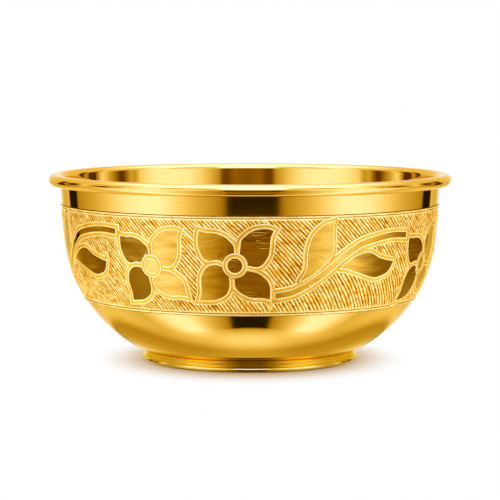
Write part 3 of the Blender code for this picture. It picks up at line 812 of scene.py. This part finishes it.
def studio_world():
    """A plain white studio, which the metal shows as soft boxes of light with dark gaps between."""
    world = bpy.data.worlds.new("studio")
    bpy.context.scene.world = world
    world.use_nodes = True
    world.cycles.sampling_method = "NONE"
    nodes = Nodes(world.node_tree)
    direction = nodes.add("ShaderNodeTexCoord").outputs["Generated"]
    split = nodes.add("ShaderNodeSeparateXYZ", {0: direction})
    x, y, z = split.outputs
    side = nodes.math("ABSOLUTE", x)
    front = nodes.math("MULTIPLY", y, -1.0)
    steepness = nodes.math("SUBTRACT", 1.0, nodes.math("MULTIPLY", z, z), clamp=True)
    pull = nodes.math("MULTIPLY_ADD", nodes.math("SQRT", steepness), -0.40, 0.40)
    pull = nodes.math("MULTIPLY", pull, nodes.math("LESS_THAN", z, 0.0))
    turn = nodes.math("ARCTAN2", x, nodes.math("ADD", front, pull))
    turn = nodes.math("DIVIDE", turn, math.pi)
    shift = nodes.range(front, 0.0, 0.9, 0.0, 1.7 / 180)
    turn = nodes.math("ABSOLUTE", nodes.math("SUBTRACT", turn, shift))

    walls = nodes.by_angle(turn, LIGHT_BELOW)

    # A dark bar stands to either side, behind the bowl, and ends above the floor
    bar = nodes.by_angle(turn, SIDE_BAR)
    bar = nodes.math("MULTIPLY", bar, nodes.range(z, -0.19, -0.15, 0.0, 0.975))
    walls = nodes.math("MULTIPLY", walls, nodes.math("SUBTRACT", 1.0, bar))

    # The gap in front is brown lower down, where the floor shows in it
    gap = nodes.range(turn, 15.5 / 180, 19 / 180, 1.0, 0.0)
    brown = nodes.math("MULTIPLY", nodes.range(z, -0.2242, -0.2285), nodes.range(z, -0.945, -0.90))
    strip = nodes.math("MULTIPLY_ADD", brown, 0.18, walls)
    low = nodes.add("ShaderNodeMix", {"Factor": gap, 2: walls, 3: strip}).outputs[0]

    # Straight below, and behind that, lies the bright floor behind the bowl
    bend = nodes.math("MINIMUM", nodes.math("MULTIPLY", nodes.math("MULTIPLY", x, x), 2.0), 0.40)
    behind = nodes.math("SUBTRACT", y, bend)
    stops = ((0.37, 0), (0.41, 0.45), (0.48, 0.7), (0.54, 0.88), (0.61, 1))
    past = nodes.ramp(nodes.math("ADD", behind, 0.5), stops)
    past = nodes.math("MULTIPLY", past, nodes.range(z, -0.26, -0.42))
    floor = nodes.range(side, 0.05, 0.24, 1.25, 0.98)
    low = nodes.add("ShaderNodeMix", {"Factor": past, 2: low, 3: floor}).outputs[0]

    # Level with the rim, where the inside of the bowl looks: the same boxes and darker gaps
    inside = nodes.by_angle(turn, LIGHT_LEVEL)
    up = nodes.range(z, -0.04, 0.005)
    low = nodes.add("ShaderNodeMix", {"Factor": up, 2: low, 3: inside}).outputs[0]

    # Above: a large soft box in front, and lamps to the sides
    box_front = nodes.range(turn, 17 / 180, 24 / 180, 2.0, 0.9)
    from_lamp = nodes.math("ABSOLUTE", nodes.math("SUBTRACT", turn, 66 / 180))
    glow = nodes.range(from_lamp, 0.02, 0.14, 1.6, 0.0)
    high = nodes.math("MAXIMUM", box_front, glow)
    top = nodes.range(z, 0.55, 0.85, 0.0, 1.0)
    rise = nodes.range(z, 0.22, 0.42)
    high = nodes.math("ADD", high, top)
    amount = nodes.add("ShaderNodeMix", {"Factor": rise, 2: low, 3: high}).outputs[0]

    # Light reflected more than once keeps a lowest level away from the front, and its own tint
    rays = nodes.add("ShaderNodeLightPath").outputs
    colour = nodes.golden(amount, nodes.range(up, 0, 1, 0.38, 1.0))
    twice = nodes.range(rays["Glossy Depth"], 1.4, 1.6)
    sunk = nodes.math("MAXIMUM", amount, 0.9)
    sunk = nodes.math("MULTIPLY", sunk, nodes.range(turn, 12 / 180, 45 / 180, 0.15, 1.0))
    green = nodes.range(rays["Glossy Depth"], 2.4, 2.6, 1.0, 1.6)
    deeper = [nodes.math("MULTIPLY", sunk, share) for share in (0.88, green, 0.65)]
    deeper = nodes.add("ShaderNodeCombineColor", dict(enumerate(deeper))).outputs[0]
    colour = nodes.mix_colours(twice, colour, deeper)
    shown = nodes.mix_colours(rays["Is Glossy Ray"], (1, 1, 1, 1), colour)
    background = world.node_tree.nodes["Background"]
    world.node_tree.links.new(shown, background.inputs["Color"])


def studio_floor():
    """White floor that keeps the bowl's soft shadow near the foot."""
    mesh = bpy.data.meshes.new("floor")
    size = 6.0
    corners = [(-size, -size, 0), (size, -size, 0), (size, size, 0), (-size, size, 0)]
    mesh.from_pydata(corners, [], [(0, 1, 2, 3)])
    material = bpy.data.materials.new("floor_white")
    material.use_nodes = True
    nodes = Nodes(material.node_tree)
    material.node_tree.nodes.remove(material.node_tree.nodes["Principled BSDF"])
    place = nodes.add("ShaderNodeTexCoord").outputs["Object"]
    narrowed = {0: place, 1: (1.15, 1, 1)}
    narrowed = nodes.add("ShaderNodeVectorMath", narrowed, operation="MULTIPLY").outputs[0]
    radius = nodes.add("ShaderNodeVectorMath", {0: narrowed}, operation="LENGTH").outputs["Value"]
    away = nodes.range(radius, 0.054, 0.092)
    white = nodes.add("ShaderNodeBsdfDiffuse", {"Color": (0.98, 0.98, 0.98, 1)}).outputs[0]
    plain = nodes.add("ShaderNodeEmission", {"Color": (1, 1, 1, 1), "Strength": 1.0}).outputs[0]
    shade = nodes.add("ShaderNodeMixShader", {0: away, 1: white, 2: plain}).outputs[0]

    # The metal shows the studio through the floor, darkened by the ring of shadow round the foot
    to_oval = {0: place, 1: (1 / SHADOW_OVAL[0], 1 / SHADOW_OVAL[1], 0)}
    oval = nodes.add("ShaderNodeVectorMath", to_oval, operation="MULTIPLY").outputs[0]
    share = nodes.add("ShaderNodeVectorMath", {0: oval}, operation="LENGTH").outputs["Value"]
    ring = nodes.ramp(nodes.math("MULTIPLY", share, 0.5), SHADOW_RING)
    rays = nodes.add("ShaderNodeLightPath").outputs
    twice = nodes.range(rays["Glossy Depth"], 1.4, 1.6)
    tint = nodes.mix_colours(twice, nodes.golden(ring), ring)
    clear = nodes.add("ShaderNodeBsdfTransparent", {"Color": tint}).outputs[0]
    either = {0: rays["Is Glossy Ray"], 1: shade, 2: clear}
    shown = nodes.add("ShaderNodeMixShader", either).outputs[0]
    surface = material.node_tree.nodes["Material Output"].inputs["Surface"]
    material.node_tree.links.new(shown, surface)
    mesh.materials.append(material)
    floor = bpy.data.objects.new("floor", mesh)
    bpy.context.scene.collection.objects.link(floor)


def set_camera():
    """Camera at the photograph's angle."""
    data = bpy.data.cameras.new("camera")
    data.lens = LENS
    data.clip_end = 20.0
    camera = bpy.data.objects.new("camera", data)
    bpy.context.scene.collection.objects.link(camera)
    camera.location = (0.0, -CAMERA_DISTANCE, CAMERA_HEIGHT)
    aim = Vector((0.0, 0.0, AIM_HEIGHT)) - camera.location
    camera.rotation_euler = aim.to_track_quat("-Z", "Y").to_euler()
    bpy.context.scene.camera = camera


def dress():
    """Makes every piece, gives it its finish and lets it ride on the bowl."""
    bpy.context.scene.view_settings.view_transform = "Standard"
    polished = polished_metal("polished_gold", GOLD, 0.03, 0.00003)
    # The foot's bead is darkened towards the floor as painted shade
    foot_finish = polished_metal("foot_gold", FOOT_GOLD, 0.07, 0.0001, FOOT_BEAD_HEIGHT / 2)
    hatched = toned_metal("hatched_gold", CHASED_GOLDS, 0.54, 0.66, 0.0001, (1, 1, 1))
    ribbon = toned_metal("ribbon_gold", CHASED_GOLDS, 0.48, 0.58, 0.00005, (1, 1, 1))
    panel = toned_metal("panel_gold", PANEL_GOLDS, 0.05, 0.10, 0.0001, (0.5, 0.5, 3.0), 0.00005)

    shell = revolve("bowl_shell_polished", shell_section())
    shell.data.materials.append(polished)
    foot = revolve("foot_ring_polished", foot_section())
    foot.data.materials.append(foot_finish)
    ground = hatched_band()
    ground.data.materials.append(hatched)
    ground.data.materials.append(ribbon)
    for piece, node, slot in (
        (shell, "bowl_shell", "polished_gold"),
        (foot, "foot_ring", "foot_gold"),
        (ground, "frieze_band", "chased_gold"),
    ):
        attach(piece, "root")
        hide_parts(node)

    repeats = [repeat_panels(*repeat) for repeat in REPEATS]
    shift = np.array([DRAWING_ROUND, 0.0])
    neighbours = [panel for repeat in repeats for panel in repeat]
    neighbours += [(edge + shift, *rest) for edge, *rest in repeats[0]]
    neighbours += [(edge - shift, *rest) for edge, *rest in repeats[-1]]
    for i, panels in enumerate(repeats):
        piece = ornament(f"ornament_{i + 1}", panels, neighbours)
        piece.data.materials.append(ribbon)
        piece.data.materials.append(panel)
        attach(piece, "root")

    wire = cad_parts["rim_wire"]
    wire.data.materials.clear()
    wire.data.materials.append(plain_metal("core_wire", WIRE_COLOUR, 0.35))
    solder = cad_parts["foot_solder"]
    solder.data.materials.clear()
    solder.data.materials.append(plain_metal("solder", SOLDER_COLOUR, 0.40))


studio_world()
studio_floor()
set_camera()
dress()
